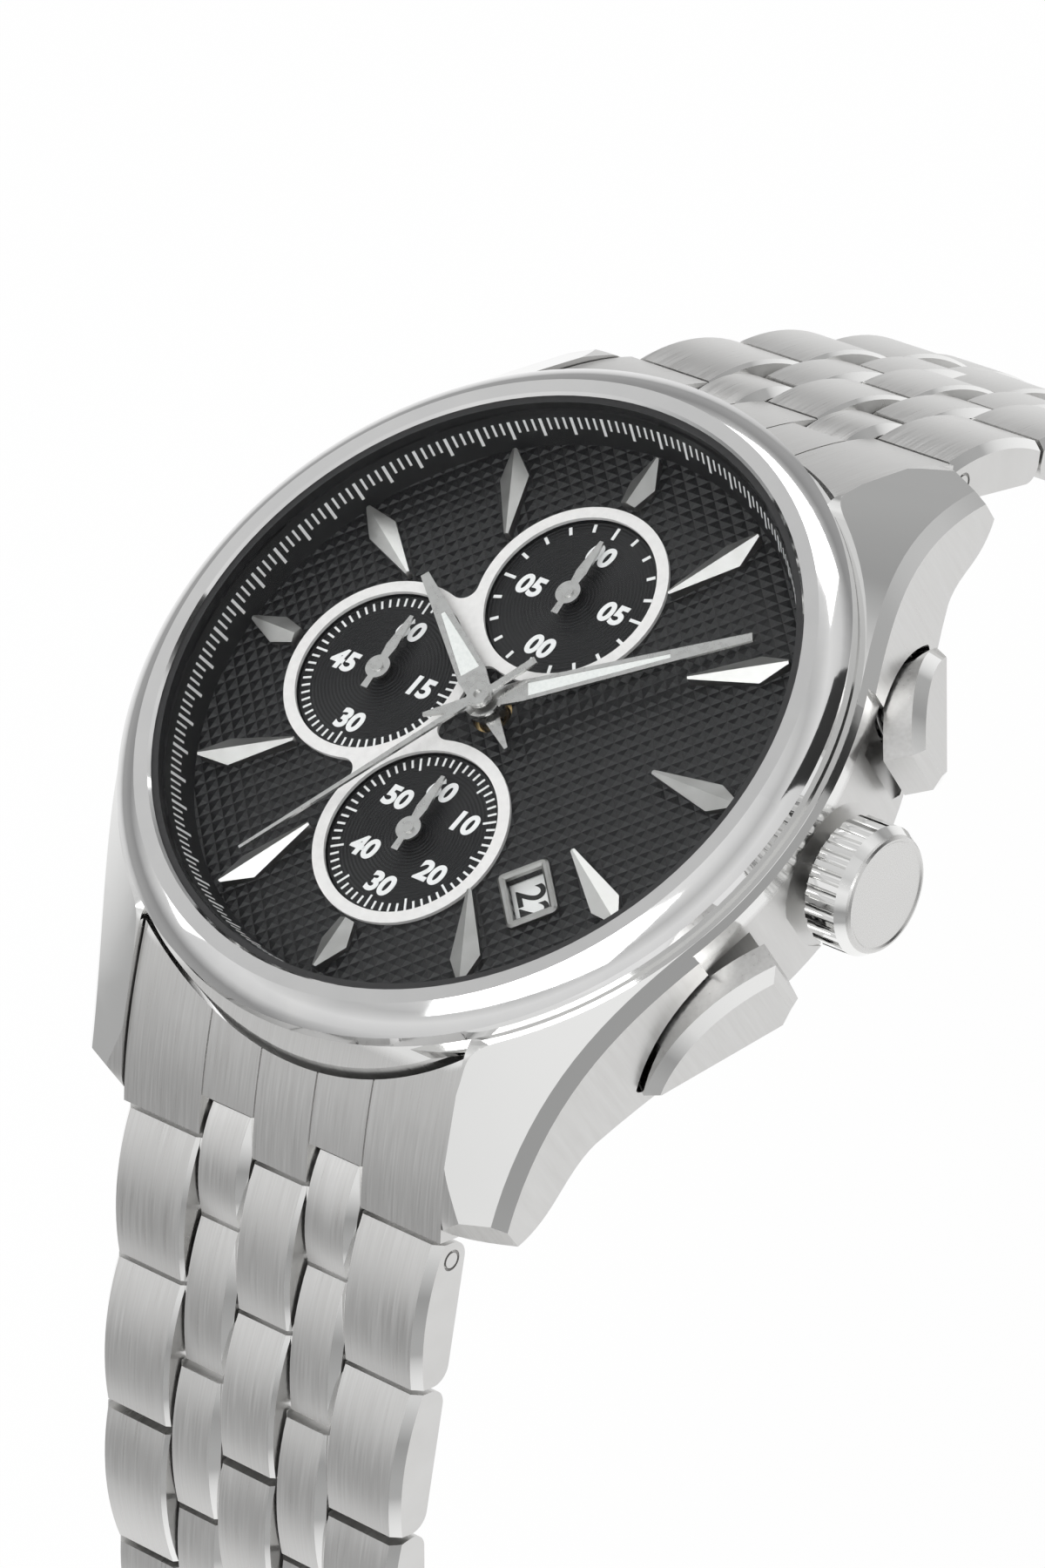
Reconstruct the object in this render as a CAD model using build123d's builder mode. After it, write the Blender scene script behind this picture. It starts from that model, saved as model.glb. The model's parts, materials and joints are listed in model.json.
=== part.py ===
from build123d import *
import math
import os

# Chronograph wristwatch on a five-row steel bracelet with a folding clasp, in millimetres.
# Origin at the centre of the flat case back, +X to 3 o'clock, +Y to 12 o'clock, +Z out of the dial.

# ---- margins used throughout
edge_break = 0.15
overcut = 0.5
pick_margin = 0.1

# ---- case heights
back_height = 2.16
crown_height = 4.65
dial_top = 8.2
dial_thickness = 0.4
case_top = 9.2
crystal_bottom = 10.4
crystal_thickness = 1.05
bezel_top = 11.2

# ---- case radii
case_radius = 21.1
bezel_radius = 20.19
ring_radius = 20.4
groove_radius = 19.8
groove_height = 0.8
crown_side_setback = 0.25
crown_side_half_width = 8.3
cavity_radius = 16.4
dial_radius = 17.2
seat_clearance = 0.05
flange_foot_radius = 16.7
flange_head_radius = 17.35
crystal_radius = 17.5
gasket_width = 0.35
crystal_rim_drop = 0.5
bezel_rim_width = 0.93
bezel_slope_drop = 1.05
bezel_neck_width = 0.75
bezel_neck_depth = 0.7
bezel_bulge = 0.08
end_link_gap = 0.25

# ---- lugs
lug_gap = 22.0
lug_length = 24.3
lug_tip_width = 3.35
lug_tip_skew = 1.25
lug_tip_height = 2.2
lug_drop = 1.5
lug_bevel_top = 0.68
lug_bevel_side = 0.35
shoulder_radius = 20.6
shoulder_slope = 1.0
spring_bar_reach = 21.7
spring_bar_height = 3.4
spring_bar_radius = 0.75
spring_bar_tip_radius = 0.45
spring_bar_tip_length = 1.0
spring_bar_shoulder_gap = 0.4

# ---- case back
back_face_radius = 15.5
back_radius = 18.4
back_rim = 0.85
back_skirt_wall = 1.0
back_plate = 1.3
back_fit = 0.1
back_notch_length = 1.8
back_slots = 6
back_slot_width = 2.4
back_slot_depth = 0.9
back_gasket_radius = 17.2
back_gasket_size = 0.6

# ---- movement
movement_radius = 13.9
movement_height = 4.0
movement_gap = 0.05
battery_radius = 4.75
battery_height = 2.1
battery_offset = 5.2
battery_fit = 0.1
bore_end_gap = 0.1
stem_end_gap = 0.3
arbor_depth = 0.85
date_disc_inner = 9.6
date_disc_outer = 13.7
date_disc_thickness = 0.15
disc_clearance = 0.1

# ---- dial furniture
centre_hole_radius = 1.1
subdial_offset = 7.6
subdial_inner = 4.8
subdial_ring_width = 0.65
subdial_depth = 0.15
frame_height = 0.22
frame_web_radius = 0.8
sub_hole_radius = 0.4
marker_outer = 16.35
marker_inner = 10.9
marker_short_inner = 13.35
marker_wide_at = 14.7
marker_half_width = 0.82
marker_height = 0.65
marker_base = 0.2
date_distance = 11.8
date_length = 3.4
date_width = 2.8
date_rim = 0.4
date_frame_height = 0.35

# ---- hands
hand_thickness = 0.15
sub_hand_lift = 0.35
hour_hand_lift = 0.75
minute_hand_lift = 1.2
seconds_hand_lift = 1.65
hour_hand_length = 9.9
hour_hand_half_width = 0.8
hour_hand_tail = 3.2
minute_hand_length = 14.65
minute_hand_half_width = 0.65
minute_hand_tail = 3.3
seconds_hand_length = 14.5
seconds_hand_tail = 3.4
sub_hand_length = 3.3
sub_hand_tail = 1.35
sub_hand_hub = 0.7
sub_arbor_radius = 0.32
hand_hub_radius = 1.0
hand_cap_radius = 0.7
hand_cap_height = 0.15
hand_cap_step = 0.1
sub_hand_boss = 0.1
tube_wall = 0.2
tube_clearance = 0.08
seconds_arbor_radius = 0.25
hour_hand_angle = 145.6
minute_hand_angle = 35.2
seconds_hand_angle = 239.5

# ---- crown
crown_radius = 3.4
crown_start = 21.35
crown_length = 2.65
crown_face_radius = 2.83
crown_flutes = 22
crown_flute_radius = 0.36
crown_flute_length = 1.95
crown_recess_clearance = 0.35
crown_recess_floor = 20.55
stem_radius = 0.45
stem_clearance = 0.05
stem_inner_end = 8.5
crown_tube_wall = 0.75
crown_tube_end = 22.55
crown_travel_room = 0.15
crown_rim = 0.1
crown_face_sink = 0.08
crown_hollow_gap = 0.6
crown_cap = 0.6
stem_cap_gap = 0.05

# ---- pushers, measured along and across their own axis
pusher_angle = 33.0
pusher_face = 22.8
pusher_depth = 2.05
pusher_crown_end = 6.75
pusher_lug_end = 2.3
pusher_floor = 2.75
pusher_shoulder = 7.05
pusher_bevel = 0.55
pusher_gap = 0.22
pusher_pocket_room = 0.9
pusher_stem_radius = 0.55
pusher_stem_side = 2.6
pusher_stem_height = 4.85
pusher_stem_end = 15.9
pusher_clip_radius = 0.85
pusher_clip_thickness = 0.3
pusher_tube_radius = 1.0
pusher_tube_length = 1.75
spring_pocket_radius = 1.35
spring_pocket_depth = 1.45
spring_coil_radius = 0.95
spring_wire_radius = 0.11
spring_turns = 5

# ---- bracelet
outer_width = 5.3
inner_width = 3.5
centre_width = 3.7
column_gap = 0.1
row_taper = 0.5
row_end = 1.0
row_pins = 6.1
bridge_pins = 2.25
bridge_overhang = 2.93
link_below = 1.0
link_shoulder = 1.17
link_crown = 0.62
bridge_shoulder = 0.98
bridge_crown = 0.58
bridge_heel = 0.85
notch_room = 1.25
link_bevel = 0.45
link_soft_edge = 0.2
pin_radius = 0.5
pin_clearance = 0.04
pin_inset = 1.0
pin_end_radius = 0.42
pin_hole_radius = 0.58
pin_hole_depth = 0.25
first_pin_reach = 23.27
first_pin_height = 1.54
end_slope = 45.0
row_angles_12 = (46.0, 52.0, 58.0, 66.0, 73.0, 79.0, 84.0)
row_angles_6 = (45.0, 45.0, 57.0, 66.0, 74.0, 80.0)
closed_angles_12 = (48.0, 55.0, 63.0, 86.0, 116.0, 140.0, 158.0)
closed_angles_6 = (47.0, 51.0, 65.0, 90.0, 122.0, 148.0)

# ---- folding clasp
clasp_curve_radius = 90.0
clasp_bend = 4.0
cover_half_width = 9.3
cover_wall = 1.0
cover_thickness = 1.2
blade_half_width = 6.5
blade_thickness = 0.8
knuckle_radius = 0.75
knuckle_half_width = 2.9
knuckle_gap = 0.25
knuckle_side_gap = 0.15
hinge_pin_radius = 0.35
fold_hinge_setback = 5.5
fold_hinge_level = -0.4
cover_hinge_setback = 6.5
cover_hinge_level = 0.4
cover_ear_width = 2.0
hook_length = 2.6
hook_below = 0.9
hook_above = 1.6
inner_blade_level = -1.3
outer_blade_level = -0.3
cover_level = 0.9
tongue_radius = 0.95
tongue_side_gap = 0.1
clasp_end_gap = 1.4

# ---- sizes that follow
bezel_bore = crystal_radius + gasket_width
bezel_neck_radius = bezel_bore + bezel_neck_width
flange_outer_radius = bezel_bore - seat_clearance
dial_bottom = dial_top - dial_thickness
movement_top = dial_bottom - date_disc_thickness - 2 * disc_clearance
movement_bottom = movement_top - movement_height
column_inner = centre_width / 2 + column_gap
column_outer = column_inner + inner_width
outer_start = column_outer + column_gap
half_row = outer_start + outer_width


def save(builder, name):
    builder.part.label = name
    export_step(builder.part, os.path.join("parts", name + ".step"))


def frustum_ring(points):
    """Solid of revolution about Z from (radius, height) points."""
    with BuildPart() as ring:
        with BuildSketch(Plane.XZ):
            with BuildLine():
                Polyline(*points, close=True)
            make_face()
        revolve(axis=Axis.Z)
    return ring


# ==================================================================== watch head
def pusher_plane(distance):
    """Plane across the upper pusher's axis: local x runs to the lug, local y is up."""
    angle = math.radians(pusher_angle)
    outward = Vector(math.cos(angle), math.sin(angle), 0)
    along = Vector(-math.sin(angle), math.cos(angle), 0)
    return Plane(origin=outward * distance, x_dir=along, z_dir=outward)


def pusher_outline(grow):
    """Wing-shaped outline of a pusher, offset outward by the amount given."""
    with BuildSketch() as outline:
        with BuildLine():
            top = ThreePointArc(
                (-pusher_crown_end, pusher_shoulder),
                (pusher_lug_end - 3.8, pusher_shoulder - 0.75),
                (pusher_lug_end, pusher_floor + 0.55),
            )
            Line(top @ 1, (pusher_lug_end - 0.6, pusher_floor))
            Line((pusher_lug_end - 0.6, pusher_floor), (1.1 - pusher_crown_end, pusher_floor))
            Line((1.1 - pusher_crown_end, pusher_floor), (-pusher_crown_end, pusher_floor + 1.1))
            Line((-pusher_crown_end, pusher_floor + 1.1), top @ 0)
        make_face()
        if grow:
            offset(amount=grow)
    return outline.sketch


pusher_stem_spot = (-pusher_stem_side, pusher_stem_height)
pusher_back = pusher_face - pusher_depth
pocket_floor = pusher_back - pusher_pocket_room
spring_floor = pocket_floor - spring_pocket_depth
pusher_tube_start = spring_floor - pusher_tube_length


def pusher_pocket():
    """Everything that the mid case loses to the upper pusher, its spring and its tube."""
    with BuildPart() as pocket:
        with BuildSketch(pusher_plane(pocket_floor)):
            add(pusher_outline(pusher_gap))
        extrude(amount=case_radius - pocket_floor + 4)
        with BuildSketch(pusher_plane(spring_floor)):
            with Locations(pusher_stem_spot):
                Circle(spring_pocket_radius)
        extrude(amount=spring_pocket_depth + overcut)
        with BuildSketch(pusher_plane(cavity_radius - 3)):
            with Locations(pusher_stem_spot):
                Circle(pusher_tube_radius)
        extrude(amount=spring_floor - cavity_radius + 3.2)
    return pocket


def build_mid_case():
    flank_start_y = crown_side_half_width - 1.0
    flank_start_x = math.sqrt(case_radius**2 - flank_start_y**2)
    tip_x = lug_gap / 2 + lug_tip_width
    tip_y = lug_length - lug_tip_skew
    shoulder_y = math.sqrt(bezel_radius**2 - (lug_gap / 2) ** 2)
    run = lug_length - shoulder_y
    drop = case_top - lug_tip_height
    pocket = pusher_pocket()
    with BuildPart() as case:
        # plan outline: round flanks that sweep out into four lugs
        with BuildSketch(Plane.XY):
            with BuildLine():
                Line((0, lug_length), (lug_gap / 2, lug_length))
                Line((lug_gap / 2, lug_length), (tip_x, tip_y))
                flank = Spline(
                    (tip_x, tip_y),
                    (tip_x + 0.55, tip_y - 3.05),
                    (tip_x + 1.8, tip_y - 7.05),
                    (flank_start_x - 2.0, flank_start_y + 4.7),
                    (flank_start_x, flank_start_y),
                )
                ThreePointArc(
                    flank @ 1,
                    (case_radius * math.cos(0.17), case_radius * math.sin(0.17)),
                    (case_radius, 0),
                )
                mirror(about=Plane.XZ)
                mirror(about=Plane.YZ)
            make_face()
        extrude(amount=case_top + 1)
        # side profile: flat top, lugs that curve down past the case back
        with BuildSketch(Plane.YZ.offset(-case_radius - 5)):
            with BuildLine():
                Line((0, case_top), (shoulder_y - 0.6, case_top))
                Spline(
                    (shoulder_y - 0.6, case_top),
                    (shoulder_y + 0.2 * run, case_top - 0.13 * drop),
                    (shoulder_y + 0.43 * run, case_top - 0.32 * drop),
                    (shoulder_y + 0.70 * run, case_top - 0.58 * drop),
                    (shoulder_y + 0.91 * run, case_top - 0.84 * drop),
                    (lug_length, lug_tip_height),
                    tangents=((1, 0), (0.35, -1)),
                )
                Spline(
                    (lug_length, lug_tip_height),
                    (lug_length - 0.9, lug_tip_height - 1.2),
                    (lug_length - 3.0, lug_tip_height - lug_drop),
                    (lug_length - 5.2, lug_tip_height - lug_drop + 0.8),
                    (lug_length - 7.3, back_height),
                )
                Line((lug_length - 7.3, back_height), (0, back_height))
                mirror(about=Plane.YZ)
            make_face()
        extrude(amount=2 * case_radius + 10, mode=Mode.INTERSECT)
        # the shoulder falls away from the bezel as one cone, out to the lug tips
        shoulder_fall = (2 * case_radius - shoulder_radius) * shoulder_slope
        with BuildSketch(Plane.XZ):
            with BuildLine():
                Polyline(
                    (shoulder_radius, case_top),
                    (2 * case_radius, case_top - shoulder_fall),
                    (2 * case_radius, case_top + 2),
                    (shoulder_radius, case_top + 2),
                    close=True,
                )
            make_face()
        revolve(axis=Axis.Z, mode=Mode.SUBTRACT)
        # polished bevel along the outer top edge of each lug
        for shoulder in case.faces().filter_by(GeomType.CONE):
            flank_edges = [
                edge
                for edge in shoulder.edges()
                if abs(edge.center().X) > lug_gap / 2 + lug_tip_width - 0.3 and abs(edge.center().Y) > flank_start_y
            ]
            chamfer(flank_edges, length=lug_bevel_top, length2=lug_bevel_side, reference=shoulder)
        # space for the end links, and the ring that stays between the lugs
        with BuildSketch(Plane.XY):
            Rectangle(lug_gap, 2 * lug_length + 2)
            Circle(ring_radius, mode=Mode.SUBTRACT)
        extrude(amount=case_top + 1, mode=Mode.SUBTRACT)
        with BuildSketch(Plane.XY):
            Rectangle(lug_gap, 2 * lug_length + 2)
        extrude(amount=back_height, mode=Mode.SUBTRACT)
        with BuildSketch(Plane.XY.offset(case_top - groove_height)):
            Rectangle(lug_gap, 2 * lug_length + 2)
            Circle(groove_radius, mode=Mode.SUBTRACT)
        extrude(amount=groove_height + 1, mode=Mode.SUBTRACT)
        # the crown side between the pushers stands back a little
        with BuildSketch(Plane.XY):
            with Locations((case_radius, 0)):
                Rectangle(case_radius, 2 * crown_side_half_width)
            Circle(case_radius - crown_side_setback, mode=Mode.SUBTRACT)
        extrude(amount=case_top + 1, mode=Mode.SUBTRACT)
        # bores from the back: movement, dial, flange and bezel neck
        with BuildSketch(Plane.XY):
            Circle(cavity_radius)
        extrude(amount=dial_bottom, mode=Mode.SUBTRACT)
        with BuildSketch(Plane.XY.offset(dial_bottom)):
            Circle(dial_radius + seat_clearance)
        extrude(amount=dial_thickness, mode=Mode.SUBTRACT)
        with BuildSketch(Plane.XY.offset(dial_top)):
            Circle(bezel_bore)
        extrude(amount=case_top, mode=Mode.SUBTRACT)
        with BuildSketch(Plane.XY.offset(case_top - bezel_neck_depth - seat_clearance)):
            Circle(bezel_neck_radius + seat_clearance)
        extrude(amount=case_top, mode=Mode.SUBTRACT)
        # groove for the back gasket
        with BuildSketch(Plane.XY.offset(back_height)):
            Circle(back_gasket_radius + back_gasket_size)
            Circle(back_gasket_radius, mode=Mode.SUBTRACT)
        extrude(amount=back_gasket_size, mode=Mode.SUBTRACT)
        # crown recess and tube bore
        with BuildSketch(Plane.YZ.offset(crown_recess_floor)):
            with Locations((0, crown_height)):
                Circle(crown_radius + crown_recess_clearance)
        extrude(amount=case_radius, mode=Mode.SUBTRACT)
        with BuildSketch(Plane.YZ.offset(cavity_radius - 3)):
            with Locations((0, crown_height)):
                Circle(stem_radius + stem_clearance + crown_tube_wall)
        extrude(amount=case_radius, mode=Mode.SUBTRACT)
        # pusher pockets and spring bar holes
        add(pocket.part, mode=Mode.SUBTRACT)
        add(mirror(pocket.part, about=Plane.XZ, mode=Mode.PRIVATE), mode=Mode.SUBTRACT)
        with BuildSketch(Plane.YZ.offset(-lug_gap / 2 - spring_bar_tip_length)):
            with Locations((spring_bar_reach, spring_bar_height), (-spring_bar_reach, spring_bar_height)):
                Circle(spring_bar_tip_radius)
        extrude(amount=lug_gap + 2 * spring_bar_tip_length, mode=Mode.SUBTRACT)
    return case


def build_bezel():
    slope_foot = bezel_top - bezel_slope_drop
    slope_head = bezel_bore + bezel_rim_width
    with BuildPart() as bezel:
        with BuildSketch(Plane.XZ):
            with BuildLine():
                Polyline(
                    (slope_head, bezel_top),
                    (bezel_bore + edge_break, bezel_top),
                    (bezel_bore, bezel_top - edge_break),
                    (bezel_bore, case_top - bezel_neck_depth),
                    (bezel_neck_radius, case_top - bezel_neck_depth),
                    (bezel_neck_radius, case_top),
                    (bezel_radius - edge_break, case_top),
                    (bezel_radius, case_top + edge_break),
                    (bezel_radius, slope_foot),
                )
                ThreePointArc(
                    (bezel_radius, slope_foot),
                    ((bezel_radius + slope_head) / 2 + bezel_bulge, (slope_foot + bezel_top) / 2 + bezel_bulge),
                    (slope_head, bezel_top),
                )
            make_face()
        revolve(axis=Axis.Z)
    return bezel


def build_crystal():
    with BuildPart() as crystal:
        with BuildSketch(Plane.XY.offset(crystal_bottom)):
            Circle(crystal_radius)
        extrude(amount=crystal_thickness)
        chamfer(crystal.edges().group_by(Axis.Z)[-1], length=0.3)
    return crystal


def build_case_back():
    skirt_outer = cavity_radius - back_fit
    skirt_inner = skirt_outer - back_skirt_wall
    with BuildPart() as back:
        with BuildSketch(Plane.XZ):
            with BuildLine():
                Polyline(
                    (0, 0),
                    (back_face_radius, 0),
                    (back_radius - 0.8, back_height - back_rim - 0.6),
                    (back_radius, back_height - back_rim),
                    (back_radius, back_height),
                    (skirt_outer, back_height),
                    (skirt_outer, movement_bottom),
                    (skirt_inner, movement_bottom),
                    (skirt_inner, back_plate),
                    (0, back_plate),
                    close=True,
                )
            make_face()
        revolve(axis=Axis.Z)
        # notches for the case wrench
        with BuildSketch(Plane.XY):
            with PolarLocations(back_radius - 1.0, back_slots):
                Rectangle(back_notch_length, back_slot_width)
        extrude(amount=back_slot_depth, mode=Mode.SUBTRACT)
    return back


# ==================================================================== movement and dial
hand_tube_bottom = dial_bottom - arbor_depth
seconds_sleeve = seconds_arbor_radius + tube_clearance
minute_tube_radius = seconds_sleeve + tube_wall
minute_sleeve = minute_tube_radius + tube_clearance
hour_tube_radius = minute_sleeve + tube_wall
subdial_centres = ((0, subdial_offset), (-subdial_offset, 0), (0, -subdial_offset))
date_plane = Plane.XY.rotated((0, 0, -45))


def build_movement():
    """Round calibre with a raised centre that the date disc turns on."""
    with BuildPart() as movement:
        with BuildSketch(Plane.XY.offset(movement_bottom)):
            Circle(movement_radius)
        extrude(amount=movement_height)
        with BuildSketch(Plane.XY.offset(movement_top)):
            Circle(date_disc_inner - movement_gap)
        extrude(amount=dial_bottom - movement_top)
        # bores for the hand tubes and the three small arbors
        with BuildSketch(Plane.XY.offset(hand_tube_bottom - hour_tube_radius - bore_end_gap)):
            Circle(hour_tube_radius + tube_clearance)
        extrude(amount=arbor_depth + hour_tube_radius + bore_end_gap, mode=Mode.SUBTRACT)
        with BuildSketch(Plane.XY.offset(hand_tube_bottom - bore_end_gap)):
            with Locations(*subdial_centres):
                Circle(sub_hole_radius)
        extrude(amount=arbor_depth + bore_end_gap, mode=Mode.SUBTRACT)
        # battery well and keyless slot for the stem
        with BuildSketch(Plane.XY.offset(movement_bottom)):
            with Locations((-battery_offset, 0)):
                Circle(battery_radius + battery_fit)
        extrude(amount=battery_height + seat_clearance, mode=Mode.SUBTRACT)
        with BuildSketch(Plane.YZ.offset(stem_inner_end - stem_end_gap)):
            with Locations((0, crown_height)):
                Circle(stem_radius + stem_clearance)
        extrude(amount=movement_radius, mode=Mode.SUBTRACT)
    return movement


def build_movement_ring():
    """Holder ring that centres the calibre in the case."""
    with BuildPart() as ring:
        with BuildSketch(Plane.XY.offset(movement_bottom)):
            Circle(cavity_radius - seat_clearance)
            Circle(movement_radius + movement_gap, mode=Mode.SUBTRACT)
        extrude(amount=dial_bottom - movement_bottom)
        with BuildSketch(Plane.YZ):
            with Locations((0, crown_height)):
                Circle(stem_radius + 2 * stem_clearance)
        extrude(amount=case_radius, mode=Mode.SUBTRACT)
        slot_plane = pusher_plane(movement_radius - 3)
        with BuildSketch(slot_plane):
            with Locations(pusher_stem_spot):
                Circle(pusher_clip_radius + pusher_gap)
        slot = extrude(amount=7, mode=Mode.SUBTRACT)
        mirror(slot, about=Plane.XZ, mode=Mode.SUBTRACT)
    return ring


def build_battery():
    with BuildPart() as battery:
        with BuildSketch(Plane.XY.offset(movement_bottom)):
            with Locations((-battery_offset, 0)):
                Circle(battery_radius)
        extrude(amount=battery_height)
        chamfer(battery.edges().group_by(Axis.Z)[0], length=0.25)
    return battery


def build_date_disc():
    with BuildPart() as disc:
        with BuildSketch(Plane.XY.offset(movement_top + disc_clearance)):
            Circle(date_disc_outer)
            Circle(date_disc_inner, mode=Mode.SUBTRACT)
        extrude(amount=date_disc_thickness)
    return disc


def build_dial():
    with BuildPart() as dial:
        with BuildSketch(Plane.XY.offset(dial_bottom)):
            Circle(dial_radius)
            Circle(centre_hole_radius, mode=Mode.SUBTRACT)
            with Locations(*subdial_centres):
                Circle(sub_hole_radius, mode=Mode.SUBTRACT)
        extrude(amount=dial_thickness)
        with BuildSketch(Plane.XY.offset(dial_top - subdial_depth)):
            with Locations(*subdial_centres):
                Circle(subdial_inner)
        extrude(amount=subdial_depth, mode=Mode.SUBTRACT)
        with BuildSketch(date_plane.offset(dial_bottom)):
            with Locations((date_distance, 0)):
                Rectangle(date_length - 2 * date_rim, date_width - 2 * date_rim)
        extrude(amount=dial_thickness, mode=Mode.SUBTRACT)
    return dial


def build_subdial_frame():
    """Three rings joined by filleted webs."""
    with BuildPart() as frame:
        with BuildSketch(Plane.XY.offset(dial_top)) as outline:
            with Locations(*subdial_centres):
                Circle(subdial_inner + subdial_ring_width)
            fillet(outline.vertices(), radius=frame_web_radius)
            with Locations(*subdial_centres):
                Circle(subdial_inner, mode=Mode.SUBTRACT)
        extrude(amount=frame_height)
    return frame


def build_hour_marker(inner):
    """One ridged kite-shaped marker lying along +X on the dial."""
    with BuildPart() as marker:
        with BuildSketch(Plane.XY.offset(dial_top)):
            with BuildLine():
                Polyline(
                    (inner, 0.12 + (inner - marker_inner) * 0.14),
                    (marker_wide_at, marker_half_width),
                    (marker_outer, 0.12),
                    (marker_outer, 0),
                    (inner, 0),
                    close=True,
                )
            make_face()
            mirror(about=Plane.XZ)
        extrude(amount=marker_height)
        with BuildSketch(Plane.YZ.offset(inner - 1)):
            with BuildLine():
                Polyline(
                    (-marker_half_width - 0.1, dial_top),
                    (marker_half_width + 0.1, dial_top),
                    (marker_half_width + 0.1, dial_top + marker_base),
                    (0, dial_top + marker_height),
                    (-marker_half_width - 0.1, dial_top + marker_base),
                    close=True,
                )
            make_face()
        extrude(amount=marker_outer, mode=Mode.INTERSECT)
    return marker


def build_hour_markers():
    long_marker = build_hour_marker(marker_inner)
    short_marker = build_hour_marker(marker_short_inner)
    with BuildPart() as markers:
        for hour in range(12):
            marker = short_marker if hour in (0, 6, 9) else long_marker
            with Locations(Location((0, 0, 0), (0, 0, 90 - 30 * hour))):
                add(marker.part)
    return markers


def build_date_frame():
    with BuildPart() as frame:
        with BuildSketch(date_plane.offset(dial_top)):
            with Locations((date_distance, 0)):
                RectangleRounded(date_length, date_width, 0.35)
                Rectangle(date_length - 2 * date_rim, date_width - 2 * date_rim, mode=Mode.SUBTRACT)
        extrude(amount=date_frame_height)
        chamfer(frame.edges().group_by(Axis.Z)[-1], length=0.12)
    return frame


# ==================================================================== hands
def hand_plane(angle, lift):
    return Plane.XY.offset(dial_top + lift).rotated((0, 0, angle))


def build_blade_hand(angle, lift, length, half_width, tail, sleeve, tube_radius):
    """Tapered blade with a triangular lume window, a pointed tail and a tube to the movement."""
    plane = hand_plane(angle, lift)
    tube_bottom = hand_tube_bottom - (hour_tube_radius - tube_radius)
    with BuildPart() as hand:
        with BuildSketch(plane):
            with BuildLine():
                Polyline(
                    (-tail, 0),
                    (-tail, 0.1),
                    (-tail / 3, 0.4),
                    (2.2, half_width),
                    (length, 0.24),
                    (length, 0),
                    close=True,
                )
            make_face()
            mirror(about=Plane.XZ)
            Circle(hand_hub_radius)
        extrude(amount=hand_thickness)
        # lume window, sunk in the face
        with BuildSketch(plane.offset(hand_thickness / 2)):
            with BuildLine():
                Polyline(
                    (2.5, half_width - 0.25),
                    (0.7 * length, 0.12),
                    (0.7 * length, -0.12),
                    (2.5, 0.25 - half_width),
                    close=True,
                )
            make_face()
        extrude(amount=hand_thickness, mode=Mode.SUBTRACT)
        with BuildSketch(Plane.XY.offset(tube_bottom)):
            Circle(tube_radius)
        extrude(amount=dial_top + lift - tube_bottom)
        with BuildSketch(Plane.XY.offset(tube_bottom)):
            Circle(sleeve)
        extrude(amount=dial_top + lift + hand_thickness - tube_bottom, mode=Mode.SUBTRACT)
    return hand


def build_seconds_hand():
    plane = hand_plane(seconds_hand_angle, seconds_hand_lift)
    arbor_bottom = hand_tube_bottom - hour_tube_radius
    with BuildPart() as hand:
        with BuildSketch(plane):
            with BuildLine():
                Polyline(
                    (-seconds_hand_tail, 0),
                    (-seconds_hand_tail, 0.22),
                    (0, 0.18),
                    (seconds_hand_length, 0.09),
                    (seconds_hand_length, 0),
                    close=True,
                )
            make_face()
            mirror(about=Plane.XZ)
            Circle(hand_cap_radius)
        extrude(amount=hand_thickness)
        with BuildSketch(plane.offset(hand_thickness)):
            Circle(hand_cap_radius - hand_cap_step)
            Circle(seconds_arbor_radius, mode=Mode.SUBTRACT)
        extrude(amount=hand_cap_height)
        with BuildSketch(Plane.XY.offset(arbor_bottom)):
            Circle(seconds_arbor_radius)
        extrude(amount=dial_top + seconds_hand_lift - arbor_bottom)
    return hand


def build_sub_hand(centre):
    """Small leaf hand that points to 12."""
    with BuildPart() as hand:
        with BuildSketch(Plane.XY.offset(dial_top + sub_hand_lift)):
            with Locations(centre):
                Circle(sub_hand_hub)
                with BuildLine():
                    Polyline(
                        (centre[0] + 0.22, centre[1] - sub_hand_tail),
                        (centre[0] + 0.16, centre[1]),
                        (centre[0] + 0.34, centre[1] + 0.4 * sub_hand_length),
                        (centre[0] + 0.12, centre[1] + sub_hand_length),
                        (centre[0] - 0.12, centre[1] + sub_hand_length),
                        (centre[0] - 0.34, centre[1] + 0.4 * sub_hand_length),
                        (centre[0] - 0.16, centre[1]),
                        (centre[0] - 0.22, centre[1] - sub_hand_tail),
                        close=True,
                    )
                make_face()
        extrude(amount=hand_thickness)
        with BuildSketch(Plane.XY.offset(hand_tube_bottom)):
            with Locations(centre):
                Circle(sub_arbor_radius)
        extrude(amount=dial_top + sub_hand_lift + hand_thickness + sub_hand_boss - hand_tube_bottom)
    return hand


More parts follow.
